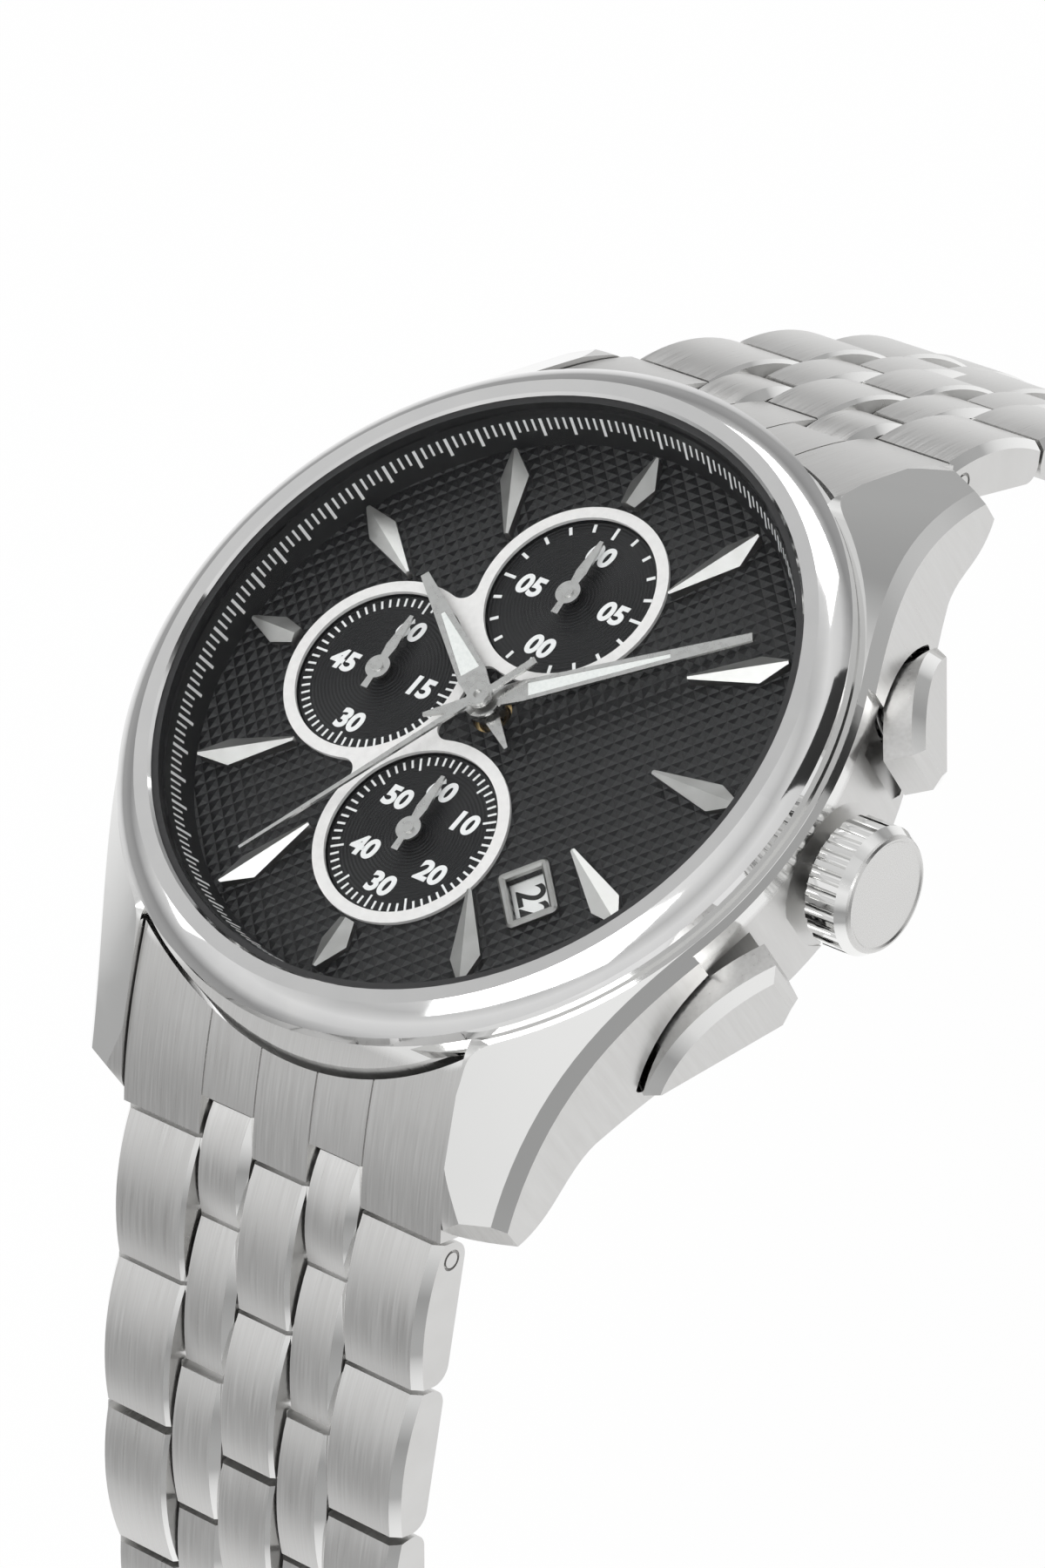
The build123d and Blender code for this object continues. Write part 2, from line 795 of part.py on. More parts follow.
# ==================================================================== crown and pushers
def build_crown():
    crown_end = crown_start + crown_length
    tube_radius = stem_radius + stem_clearance + crown_tube_wall
    with BuildPart() as crown:
        with BuildSketch(Plane.XZ):
            with BuildLine():
                Polyline(
                    (crown_start, crown_height),
                    (crown_start, crown_height + crown_radius - edge_break),
                    (crown_start + edge_break, crown_height + crown_radius),
                    (crown_start + crown_flute_length, crown_height + crown_radius),
                    (crown_end - crown_rim, crown_height + crown_face_radius + 2 * crown_rim),
                    (crown_end, crown_height + crown_face_radius + crown_rim),
                    (crown_end, crown_height + crown_face_radius),
                    (crown_end - crown_face_sink, crown_height + crown_face_radius - crown_rim),
                    (crown_end - crown_face_sink, crown_height),
                    close=True,
                )
            make_face()
        revolve(axis=Axis((0, 0, crown_height), (1, 0, 0)))
        with BuildSketch(Plane.YZ.offset(crown_start)):
            with Locations((0, crown_height)):
                with PolarLocations(crown_radius + crown_rim, crown_flutes):
                    Circle(crown_flute_radius)
        extrude(amount=crown_flute_length, mode=Mode.SUBTRACT)
        # hollow that clears the tube, and the stem bore
        with BuildSketch(Plane.YZ.offset(crown_start)):
            with Locations((0, crown_height)):
                Circle(tube_radius + crown_hollow_gap)
        extrude(amount=crown_tube_end + crown_travel_room - crown_start, mode=Mode.SUBTRACT)
        with BuildSketch(Plane.YZ.offset(crown_start)):
            with Locations((0, crown_height)):
                Circle(stem_radius + stem_clearance)
        extrude(amount=crown_length - crown_cap, mode=Mode.SUBTRACT)
    return crown


def build_stem():
    with BuildPart() as stem:
        with BuildSketch(Plane.YZ.offset(stem_inner_end)):
            with Locations((0, crown_height)):
                Circle(stem_radius)
        extrude(amount=crown_start + crown_length - crown_cap - stem_cap_gap - stem_inner_end)
    return stem


def build_case_tubes():
    """Crown tube and the two pusher tubes pressed in the case wall."""
    stem_bore = stem_radius + stem_clearance
    with BuildPart() as tubes:
        with BuildSketch(pusher_plane(pusher_tube_start)):
            with Locations(pusher_stem_spot):
                Circle(pusher_tube_radius)
                Circle(pusher_stem_radius + stem_clearance, mode=Mode.SUBTRACT)
        extrude(amount=pusher_tube_length)
        mirror(about=Plane.XZ)
        with BuildSketch(Plane.YZ.offset(cavity_radius + pusher_gap)):
            with Locations((0, crown_height)):
                Circle(stem_bore + crown_tube_wall)
                Circle(stem_bore, mode=Mode.SUBTRACT)
        extrude(amount=crown_tube_end - cavity_radius - pusher_gap)
    return tubes


def build_pusher():
    """Wing-shaped cap with its stem and retaining clip."""
    with BuildPart() as pusher:
        with BuildSketch(pusher_plane(pusher_back)):
            add(pusher_outline(0))
        extrude(amount=pusher_depth)
        face = pusher.faces().filter_by(pusher_plane(pusher_face)).sort_by(SortBy.AREA)[-1]
        chamfer(face.outer_wire().edges(), length=pusher_bevel)
        with BuildSketch(pusher_plane(pusher_stem_end)):
            with Locations(pusher_stem_spot):
                Circle(pusher_stem_radius)
        extrude(amount=pusher_back - pusher_stem_end)
        with BuildSketch(pusher_plane(pusher_tube_start - stem_clearance - pusher_clip_thickness)):
            with Locations(pusher_stem_spot):
                Circle(pusher_clip_radius)
        extrude(amount=pusher_clip_thickness)
    return pusher


def build_pusher_spring():
    plane = pusher_plane(spring_floor + spring_wire_radius)
    height = pusher_back - spring_floor - 2 * spring_wire_radius
    with BuildPart() as spring:
        with BuildLine() as coil:
            Helix(
                pitch=height / spring_turns,
                height=height,
                radius=spring_coil_radius,
                center=plane.from_local_coords((-pusher_stem_side, pusher_stem_height, 0)),
                direction=plane.z_dir,
            )
        with BuildSketch(Plane(origin=coil.line @ 0, z_dir=coil.line % 0)):
            Circle(spring_wire_radius)
        sweep(path=coil.line)
    return spring


# ==================================================================== bracelet
def link_plane(side, reach, height, slope):
    """Side plane of a link: local x runs along the bracelet, local y points away from the wrist."""
    angle = math.radians(slope)
    return Plane(
        origin=(0, side * reach, height),
        x_dir=(0, side * math.cos(angle), -math.sin(angle)),
        z_dir=(side, 0, 0),
    )


def step(point, length, slope):
    angle = math.radians(slope)
    return (point[0] + length * math.cos(angle), point[1] - length * math.sin(angle))


def hang(side, row_angles):
    """Planes of all bridge and row links of one half, and the pin that the clasp hangs on."""
    point = (first_pin_reach, first_pin_height)
    before = end_slope
    planes = []
    for slope in row_angles:
        bridge_slope = (before + slope) / 2
        bridge = link_plane(side, point[0], point[1], bridge_slope)
        point = step(point, bridge_pins, bridge_slope)
        planes.append((bridge, link_plane(side, point[0], point[1], slope)))
        point = step(point, row_pins, slope)
        before = slope
    return planes, point


def top_edges(builder, plane, inner, outer, level):
    """Long top edges of a link whose distance from the middle is between two values."""
    chosen = []
    for edge in builder.edges():
        spot = plane.to_local_coords(edge.center())
        along_link = abs((edge @ 1 - edge @ 0).X) < 0.5 and edge.length > 2
        if along_link and inner < abs(spot.Z) < outer and spot.Y > level:
            chosen.append(edge)
    return chosen


def build_row(plane, start_half, end_half, pin_shows):
    """Centre link and two outer links of one row, tied by their two pins."""
    with BuildPart() as row:
        with BuildSketch(plane):
            with BuildLine():
                Line((0, -link_below), (row_pins, -link_below))
                JernArc((row_pins, -link_below), (1, 0), link_below, 90)
                Line((row_pins + row_end, 0), (row_pins + row_end, link_shoulder))
                ThreePointArc(
                    (row_pins + row_end, link_shoulder),
                    (row_pins / 2, link_shoulder + link_crown),
                    (-row_end, link_shoulder),
                )
                Line((-row_end, link_shoulder), (-row_end, 0))
                JernArc((-row_end, 0), (0, -1), link_below, 90)
            make_face()
        extrude(amount=start_half, both=True)
        # outboard faces draw in towards the clasp
        with BuildSketch(Plane(origin=plane.origin - 4 * plane.y_dir, x_dir=plane.x_dir, z_dir=plane.y_dir)):
            with BuildLine():
                Polyline(
                    (-row_end - 1, -start_half),
                    (-row_end, -start_half),
                    (row_pins + row_end, -end_half),
                    (row_pins + row_end + 1, -end_half),
                    (row_pins + row_end + 1, end_half),
                    (row_pins + row_end, end_half),
                    (-row_end, start_half),
                    (-row_end - 1, start_half),
                    close=True,
                )
            make_face()
        extrude(amount=8, mode=Mode.INTERSECT)
        outboard = top_edges(row, plane, end_half - 2 * pick_margin, start_half + pick_margin, link_shoulder)
        chamfer(outboard, length=link_bevel)
        for start in (centre_width / 2, -outer_start):
            with BuildSketch(plane.offset(start)):
                with Locations((row_pins / 2, 0)):
                    Rectangle(row_pins + 2 * row_end + 2, 8)
            extrude(amount=outer_start - centre_width / 2, mode=Mode.SUBTRACT)
        inboard = top_edges(row, plane, centre_width / 2 - pick_margin, outer_start + pick_margin, link_shoulder)
        chamfer(inboard, length=link_soft_edge)
        with BuildSketch(plane.offset(-outer_start - pin_inset)):
            with Locations((0, 0), (row_pins, 0)):
                Circle(pin_radius)
        extrude(amount=2 * (outer_start + pin_inset))
        if pin_shows:
            # the rear pin's end in its hole, on the crown side
            with BuildSketch(Plane(origin=plane.origin, z_dir=(1, 0, 0)).offset(start_half)):
                Circle(pin_hole_radius)
                Circle(pin_end_radius, mode=Mode.SUBTRACT)
            extrude(amount=-pin_hole_depth, mode=Mode.SUBTRACT)
    return row


def build_bridge(plane, rear_overhang):
    """Pair of intermediate links that carry one row to the next."""
    front = bridge_pins + bridge_overhang
    with BuildPart() as bridge:
        with BuildSketch(plane):
            with BuildLine():
                Line((-rear_overhang, 0), (-rear_overhang, bridge_shoulder))
                ThreePointArc(
                    (-rear_overhang, bridge_shoulder),
                    (bridge_pins / 2, bridge_shoulder + bridge_crown),
                    (front, bridge_shoulder),
                )
                Polyline(
                    (front, bridge_shoulder),
                    (front, 0),
                    (bridge_pins + bridge_heel, -link_below),
                    (-bridge_heel, -link_below),
                    (-rear_overhang, 0),
                )
            make_face()
            with Locations((0, 0), (bridge_pins, 0)):
                Circle(pin_radius + pin_clearance, mode=Mode.SUBTRACT)
        extrude(amount=column_outer, both=True)
        outer_edges = top_edges(bridge, plane, column_outer - pick_margin, column_outer + pick_margin, bridge_shoulder)
        chamfer(outer_edges, length=link_bevel)
        with BuildSketch(plane):
            with Locations((bridge_pins / 2, 0)):
                Rectangle(bridge_pins + 2 * bridge_overhang + 2, 8)
        extrude(amount=column_inner, both=True, mode=Mode.SUBTRACT)
        inner_edges = top_edges(bridge, plane, column_inner - pick_margin, column_inner + pick_margin, bridge_shoulder)
        chamfer(inner_edges, length=link_bevel)
    return bridge


def build_end_link(side):
    """Solid end piece that fills the gap between two lugs and carries the first pin."""
    pin_plane = link_plane(side, first_pin_reach, first_pin_height, end_slope)
    end_top = pin_plane.from_local_coords((row_end, link_shoulder, 0))
    end_face = pin_plane.from_local_coords((row_end, 0, 0))
    end_under = pin_plane.from_local_coords((0, -link_below, 0))
    turn = pin_plane.from_local_coords((row_end * math.sqrt(0.5), -link_below * math.sqrt(0.5), 0))
    half = lug_gap / 2 - column_gap
    with BuildPart() as end_link:
        with BuildSketch(Plane.YZ.offset(-half)):
            with BuildLine():
                top = Spline(
                    (side * 17.0, 8.9),
                    (side * 19.5, 6.95),
                    (side * 22.0, 4.75),
                    (end_top.Y, end_top.Z),
                )
                Line(top @ 1, (end_face.Y, end_face.Z))
                under = ThreePointArc((end_face.Y, end_face.Z), (turn.Y, turn.Z), (end_under.Y, end_under.Z))
                Polyline(under @ 1, (side * 20.6, 1.2), (side * 17.0, 1.2), top @ 0)
            make_face()
            with Locations((side * spring_bar_reach, spring_bar_height)):
                Circle(spring_bar_radius + pin_clearance, mode=Mode.SUBTRACT)
        extrude(amount=2 * half)
        with BuildSketch(Plane.XY):
            Circle(ring_radius + end_link_gap)
        extrude(amount=case_top + 1, mode=Mode.SUBTRACT)
        # notches that the first bridge turns in
        for start in (centre_width / 2, -outer_start):
            with BuildSketch(pin_plane.offset(start)):
                with Locations((row_end, 0)):
                    Rectangle(2 * (row_end + notch_room), 8)
            extrude(amount=outer_start - centre_width / 2, mode=Mode.SUBTRACT)
        with BuildSketch(pin_plane.offset(-outer_start - pin_inset)):
            Circle(pin_radius)
        extrude(amount=2 * (outer_start + pin_inset))
        # shallow grooves that continue the lines between the link columns
        for start in (-outer_start, -column_inner, column_inner - column_gap, outer_start - column_gap):
            with BuildSketch(Plane.YZ.offset(start)):
                with BuildLine():
                    Polyline(
                        (side * 16.0, 9.6),
                        (side * 19.5, 6.85),
                        (side * 22.0, 4.6),
                        (side * 24.5, 2.1),
                        (side * 26.0, 4.0),
                        (side * 19.0, 10.0),
                        close=True,
                    )
                make_face()
            extrude(amount=column_gap, mode=Mode.SUBTRACT)
    return end_link


def build_spring_bars():
    with BuildPart() as bars:
        with BuildSketch(Plane.YZ.offset(spring_bar_shoulder_gap - lug_gap / 2)):
            with Locations((spring_bar_reach, spring_bar_height), (-spring_bar_reach, spring_bar_height)):
                Circle(spring_bar_radius)
        extrude(amount=lug_gap - 2 * spring_bar_shoulder_gap)
        with BuildSketch(Plane.YZ.offset(-lug_gap / 2 - spring_bar_tip_length + seat_clearance)):
            with Locations((spring_bar_reach, spring_bar_height), (-spring_bar_reach, spring_bar_height)):
                Circle(spring_bar_tip_radius - pin_clearance)
        extrude(amount=lug_gap + 2 * spring_bar_tip_length - 2 * seat_clearance)
    return bars


# ==================================================================== folding clasp
# The bracelet is drawn open: the clasp hangs shut from the 12 half's last pin. Its length is the
# gap between the two last pins once both halves are bent to their closed angles.
half_12, last_pin_12 = hang(1, row_angles_12)
half_6 = hang(-1, row_angles_6)[0]
closed_pin_12 = hang(1, closed_angles_12)[1]
closed_pin_6 = hang(-1, closed_angles_6)[1]
closed_reach = closed_pin_12[0] + closed_pin_6[0]
closed_chord = math.hypot(closed_reach, closed_pin_12[1] - closed_pin_6[1])
clasp_turn = 2 * math.asin(closed_chord / 2 / clasp_curve_radius)
clasp_length = clasp_curve_radius * clasp_turn
clasp_first_angle = math.radians(90 - row_angles_12[-1] - clasp_bend)
clasp_centre = Vector(
    0,
    last_pin_12[0] - clasp_curve_radius * math.cos(clasp_first_angle),
    last_pin_12[1] - clasp_curve_radius * math.sin(clasp_first_angle),
)


def clasp_point(length, level):
    """(y, z) of a point along the clasp's curve, at a level outward from it."""
    angle = clasp_first_angle - length / clasp_curve_radius
    radius = clasp_curve_radius + level
    return (clasp_centre.Y + radius * math.cos(angle), clasp_centre.Z + radius * math.sin(angle))


def clasp_band(low, high, start, end):
    """Curved band of the clasp in side view, between two levels and two lengths."""
    middle = (start + end) / 2
    with BuildSketch() as band:
        with BuildLine():
            ThreePointArc(clasp_point(start, low), clasp_point(middle, low), clasp_point(end, low))
            Line(clasp_point(end, low), clasp_point(end, high))
            ThreePointArc(clasp_point(end, high), clasp_point(middle, high), clasp_point(start, high))
            Line(clasp_point(start, high), clasp_point(start, low))
        make_face()
    return band.sketch


fold_hinge = clasp_length - fold_hinge_setback
cover_hinge = cover_hinge_setback
fork_outer = blade_half_width
fork_inner = knuckle_half_width + knuckle_side_gap


def build_inner_blade():
    """Blade next to the wrist: tongues on the 12 half's last pin, fork at the fold hinge."""
    blade_top = inner_blade_level + blade_thickness
    fork_root = fold_hinge - knuckle_radius - knuckle_gap
    with BuildPart() as blade:
        with BuildSketch(Plane.YZ.offset(-blade_half_width)):
            add(clasp_band(inner_blade_level, blade_top, clasp_end_gap, fold_hinge))
        extrude(amount=2 * blade_half_width)
        with BuildSketch(Plane.YZ.offset(-fork_inner)):
            add(clasp_band(inner_blade_level - 1, blade_top + 1, fork_root, fold_hinge + 2))
        extrude(amount=2 * fork_inner, mode=Mode.SUBTRACT)
        for start in (column_inner + tongue_side_gap, -column_outer + tongue_side_gap):
            with BuildSketch(Plane.YZ.offset(start)):
                add(clasp_band(inner_blade_level, 0, 0, clasp_end_gap + 1.5))
                with Locations(clasp_point(0, 0)):
                    Circle(tongue_radius)
            extrude(amount=inner_width - 2 * tongue_side_gap)
        for start in (fork_inner, -fork_outer):
            with BuildSketch(Plane.YZ.offset(start)):
                with Locations(clasp_point(fold_hinge, fold_hinge_level)):
                    Circle(knuckle_radius)
            extrude(amount=fork_outer - fork_inner)
        with BuildSketch(Plane.YZ.offset(-column_outer)):
            with Locations(clasp_point(0, 0)):
                Circle(pin_radius + pin_clearance)
        extrude(amount=2 * column_outer, mode=Mode.SUBTRACT)
        with BuildSketch(Plane.YZ.offset(-fork_inner - overcut)):
            with Locations(clasp_point(fold_hinge, fold_hinge_level)):
                Circle(hinge_pin_radius)
        extrude(amount=2 * (fork_inner + overcut))
    return blade


def build_outer_blade():
    """Middle blade of the fold, a knuckle at each end."""
    blade_top = outer_blade_level + blade_thickness
    reach = knuckle_radius + knuckle_gap
    cover_spot = clasp_point(cover_hinge, cover_hinge_level)
    fold_spot = clasp_point(fold_hinge, fold_hinge_level)
    with BuildPart() as blade:
        with BuildSketch(Plane.YZ.offset(-blade_half_width)):
            add(clasp_band(outer_blade_level, blade_top, cover_hinge + reach, fold_hinge - reach))
        extrude(amount=2 * blade_half_width)
        with BuildSketch(Plane.YZ.offset(-knuckle_half_width)):
            add(clasp_band(outer_blade_level, blade_top, cover_hinge, fold_hinge))
            with Locations(cover_spot, fold_spot):
                Circle(knuckle_radius)
                Circle(hinge_pin_radius + pin_clearance, mode=Mode.SUBTRACT)
        extrude(amount=2 * knuckle_half_width)
    return blade


def build_cover():
    """Outer cover of the clasp with side walls, hinge ears, and hooks for the 6 half's last pin."""
    hook_end = clasp_length - clasp_end_gap
    end_angle = clasp_first_angle - clasp_turn
    hook_spot = clasp_point(clasp_length, 0)
    hook_plane = Plane(
        origin=(0, hook_spot[0], hook_spot[1]),
        x_dir=(0, -math.sin(end_angle), math.cos(end_angle)),
        z_dir=(-1, 0, 0),
    )
    hinge_spot = clasp_point(cover_hinge, cover_hinge_level)
    bore = pin_radius + pin_clearance
    with BuildPart() as cover:
        with BuildSketch(Plane.YZ.offset(-cover_half_width)):
            add(clasp_band(cover_level, cover_level + cover_thickness, clasp_end_gap, hook_end))
        extrude(amount=2 * cover_half_width)
        chamfer(cover.edges().filter_by(GeomType.CIRCLE).group_by(SortBy.LENGTH)[-1], length=0.4)
        for start in (-cover_half_width, cover_half_width - cover_wall):
            with BuildSketch(Plane.YZ.offset(start)):
                add(clasp_band(-link_below, cover_level + pick_margin, clasp_end_gap, hook_end))
            extrude(amount=cover_wall)
        # pocket over the outer blade's knuckle, then ears and hinge pin
        with BuildSketch(Plane.YZ.offset(-fork_inner)):
            with Locations(hinge_spot):
                Circle(knuckle_radius + knuckle_gap)
        extrude(amount=2 * fork_inner, mode=Mode.SUBTRACT)
        for start in (fork_inner, -fork_inner - cover_ear_width):
            with BuildSketch(Plane.YZ.offset(start)):
                with Locations(hinge_spot):
                    Circle(knuckle_radius)
            extrude(amount=cover_ear_width)
        with BuildSketch(Plane.YZ.offset(-fork_inner - overcut)):
            with Locations(hinge_spot):
                Circle(hinge_pin_radius)
        extrude(amount=2 * (fork_inner + overcut))
        # hooks that stay open towards the wrist and towards the 6 half
        for start in (column_inner + tongue_side_gap, -column_outer + tongue_side_gap):
            with BuildSketch(hook_plane.offset(start)):
                with Locations((hook_length / 2 - 0.05, (hook_above - hook_below) / 2)):
                    Rectangle(hook_length + 0.1, hook_above + hook_below)
                with Locations((bore - 1, -1)):
                    Rectangle(2, 2, mode=Mode.SUBTRACT)
                Circle(bore, mode=Mode.SUBTRACT)
            extrude(amount=inner_width - 2 * tongue_side_gap)
    return cover


def mirrored(builder):
    """The same piece on the other side of the crown's axis."""
    with BuildPart() as twin:
        mirror(builder.part, about=Plane.XZ)
    return twin


os.makedirs("parts", exist_ok=True)
gasket_top = bezel_top - crystal_rim_drop / 2
save(build_mid_case(), "mid_case")
save(build_bezel(), "bezel")
save(build_crystal(), "crystal")
save(
    frustum_ring(
        [
            (crystal_radius, crystal_bottom),
            (bezel_bore, crystal_bottom),
            (bezel_bore, gasket_top),
            (crystal_radius, gasket_top),
        ]
    ),
    "crystal_gasket",
)
save(
    frustum_ring(
        [
            (flange_foot_radius, dial_top),
            (flange_outer_radius, dial_top),
            (flange_outer_radius, crystal_bottom),
            (flange_head_radius, crystal_bottom),
        ]
    ),
    "flange_ring",
)
save(build_case_back(), "case_back")
save(
    frustum_ring(
        [
            (back_gasket_radius, back_height),
            (back_gasket_radius + back_gasket_size, back_height),
            (back_gasket_radius + back_gasket_size, back_height + back_gasket_size),
            (back_gasket_radius, back_height + back_gasket_size),
        ]
    ),
    "case_back_gasket",
)
save(build_movement(), "movement")
save(build_movement_ring(), "movement_ring")
save(build_battery(), "battery")
save(build_date_disc(), "date_disc")
save(build_dial(), "dial")
save(build_subdial_frame(), "subdial_frame")
save(build_hour_markers(), "hour_markers")
save(build_date_frame(), "date_frame")
save(
    build_blade_hand(
        hour_hand_angle,
        hour_hand_lift,
        hour_hand_length,
        hour_hand_half_width,
        hour_hand_tail,
        minute_sleeve,
        hour_tube_radius,
    ),
    "hour_hand",
)
save(
    build_blade_hand(
        minute_hand_angle,
        minute_hand_lift,
        minute_hand_length,
        minute_hand_half_width,
        minute_hand_tail,
        seconds_sleeve,
        minute_tube_radius,
    ),
    "minute_hand",
)
save(build_seconds_hand(), "chrono_seconds_hand")
sub_hand_names = ("fraction_hand", "chrono_minute_hand", "small_seconds_hand")
for centre, name in zip(subdial_centres, sub_hand_names):
    save(build_sub_hand(centre), name)
save(build_crown(), "crown")
save(build_stem(), "stem")
save(build_case_tubes(), "case_tubes")
upper_pusher = build_pusher()
save(upper_pusher, "pusher_2")
save(mirrored(upper_pusher), "pusher_4")
upper_spring = build_pusher_spring()
save(upper_spring, "pusher_spring_2")
save(mirrored(upper_spring), "pusher_spring_4")
for name, side, links in (("12", 1, half_12), ("6", -1, half_6)):
    save(build_end_link(side), "end_link_" + name)
    for number, (bridge_plane_here, row_plane_here) in enumerate(links, start=1):
        rear = row_end if number == 1 else bridge_overhang
        start_half = half_row - row_taper / 2 * (number - 1)
        save(build_bridge(bridge_plane_here, rear), f"bridge_{name}_{number}")
        row = build_row(row_plane_here, start_half, start_half - row_taper / 2, number == 1)
        save(row, f"row_{name}_{number}")
save(build_spring_bars(), "spring_bars")
save(build_inner_blade(), "clasp_blade_inner")
save(build_outer_blade(), "clasp_blade_outer")
save(build_cover(), "clasp_cover")
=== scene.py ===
import json
import math

import bmesh
import bpy
from mathutils import Matrix, Vector


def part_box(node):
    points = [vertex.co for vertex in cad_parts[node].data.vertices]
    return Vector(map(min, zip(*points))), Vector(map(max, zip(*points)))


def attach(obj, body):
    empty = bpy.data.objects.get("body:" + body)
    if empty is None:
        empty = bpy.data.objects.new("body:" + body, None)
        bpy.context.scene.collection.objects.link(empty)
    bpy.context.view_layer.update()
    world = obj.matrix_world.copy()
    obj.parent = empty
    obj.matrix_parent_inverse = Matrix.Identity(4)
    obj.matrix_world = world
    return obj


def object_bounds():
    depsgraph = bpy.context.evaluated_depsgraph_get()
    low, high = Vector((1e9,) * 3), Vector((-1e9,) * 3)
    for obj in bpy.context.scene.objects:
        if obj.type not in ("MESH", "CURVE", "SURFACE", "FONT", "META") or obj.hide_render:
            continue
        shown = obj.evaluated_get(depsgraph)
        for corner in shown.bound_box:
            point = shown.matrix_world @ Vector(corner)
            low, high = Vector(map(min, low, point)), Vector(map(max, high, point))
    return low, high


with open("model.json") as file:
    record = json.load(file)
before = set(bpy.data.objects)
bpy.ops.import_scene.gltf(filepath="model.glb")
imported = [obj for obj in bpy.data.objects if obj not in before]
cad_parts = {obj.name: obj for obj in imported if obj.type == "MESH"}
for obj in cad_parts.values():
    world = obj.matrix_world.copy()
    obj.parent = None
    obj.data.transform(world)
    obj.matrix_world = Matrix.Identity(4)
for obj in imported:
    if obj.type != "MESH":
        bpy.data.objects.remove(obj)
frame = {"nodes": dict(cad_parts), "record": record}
first_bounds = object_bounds()
nodes = frame["nodes"]
MM = 0.001

# The dial's own measures, in millimetres, as the CAD source has them.
DIAL_TOP = 8.2
SUBDIAL_CENTRES = {
    "chrono_minutes": (-7.6, 0.0),
    "fraction": (0.0, 7.6),
    "small_seconds": (0.0, -7.6),
}
SUBDIAL_RADIUS = 4.8
SUBDIAL_DEPTH = 0.15
FLANGE_FOOT = (16.7, 8.2)
FLANGE_HEAD = (17.35, 10.4)
DATE_RADIUS = 11.8
DATE_ANGLE = -45.0
PYRAMID_PITCH = 0.66
GROOVE_PITCH = 0.2
PRINT_HALF_HEIGHT = 0.012
# colour of the polished bands: real polish, lightened above brushed steel as a painted highlight
POLISHED_HIGHLIGHT_LEVEL = 0.88

# The camera, in millimetres and degrees, and its lens on a 36 mm wide film.
CAMERA_PLACE = (187.72, -94.49, 250.01)
CAMERA_AIM = (4.11, -2.94, DIAL_TOP)
CAMERA_ROLL = -35.27
LENS = 144.04


# ------------------------------------------------------------------ node helpers
class Nodes:
    """A material whose node tree is built by short calls."""

    def __init__(self, name):
        self.material = bpy.data.materials.new(name)
        self.material.use_nodes = True
        self.tree = self.material.node_tree
        self.shader = self.tree.nodes["Principled BSDF"]
        self.output = self.tree.nodes["Material Output"]

    def add(self, kind, **settings):
        node = self.tree.nodes.new(kind)
        for key, value in settings.items():
            setattr(node, key, value)
        return node

    def link(self, source, target):
        self.tree.links.new(source, target)

    def math(self, operation, a, b=0.0):
        node = self.add("ShaderNodeMath", operation=operation)
        for socket, value in zip(node.inputs, (a, b)):
            if isinstance(value, (int, float)):
                socket.default_value = value
            else:
                self.link(value, socket)
        return node.outputs[0]

    def position(self):
        return self.add("ShaderNodeTexCoord").outputs["Object"]

    def axes(self, vector):
        node = self.add("ShaderNodeSeparateXYZ")
        self.link(vector, node.inputs[0])
        return node.outputs

    def noise(self, stretch, detail=3.0, vector=None):
        """Noise whose cells per metre are given for each axis."""
        mapping = self.add("ShaderNodeMapping")
        mapping.inputs["Scale"].default_value = stretch
        self.link(vector or self.position(), mapping.inputs["Vector"])
        noise = self.add("ShaderNodeTexNoise")
        noise.inputs["Scale"].default_value = 1.0
        noise.inputs["Detail"].default_value = detail
        self.link(mapping.outputs[0], noise.inputs["Vector"])
        return noise.outputs["Fac"]

    def spread(self, value, low, high, start=0.3, end=0.7):
        node = self.add("ShaderNodeMapRange")
        node.inputs["From Min"].default_value = start
        node.inputs["From Max"].default_value = end
        node.inputs["To Min"].default_value = low
        node.inputs["To Max"].default_value = high
        self.link(value, node.inputs["Value"])
        return node.outputs[0]

    def blend(self, factor, a, b):
        """One number or another, by a factor from 0 to 1."""
        node = self.add("ShaderNodeMix", data_type="FLOAT")
        for socket, value in zip((node.inputs[0], node.inputs[2], node.inputs[3]), (factor, a, b)):
            if isinstance(value, (int, float)):
                socket.default_value = value
            else:
                self.link(value, socket)
        return node.outputs[0]

    def colour(self, factor, dark, light):
        """Base Color from dark to light by a factor; gives back the ramp's colour."""
        ramp = self.add("ShaderNodeValToRGB")
        ramp.color_ramp.elements[0].position = 0.3
        ramp.color_ramp.elements[0].color = (*dark, 1)
        ramp.color_ramp.elements[1].position = 0.7
        ramp.color_ramp.elements[1].color = (*light, 1)
        self.link(factor, ramp.inputs[0])
        self.link(ramp.outputs[0], self.shader.inputs["Base Color"])
        return ramp.outputs[0]

    def roughness(self, value):
        if isinstance(value, (int, float)):
            self.shader.inputs["Roughness"].default_value = value
        else:
            self.link(value, self.shader.inputs["Roughness"])

    def bump(self, height, distance, strength=1.0):
        node = self.add("ShaderNodeBump")
        node.inputs["Distance"].default_value = distance
        node.inputs["Strength"].default_value = strength
        self.link(height, node.inputs["Height"])
        self.link(node.outputs[0], self.shader.inputs["Normal"])

    def facing(self, axis):
        """How far the surface faces along an axis, 0 to 1."""
        normal = self.axes(self.add("ShaderNodeNewGeometry").outputs["Normal"])[axis]
        return self.math("ABSOLUTE", normal)


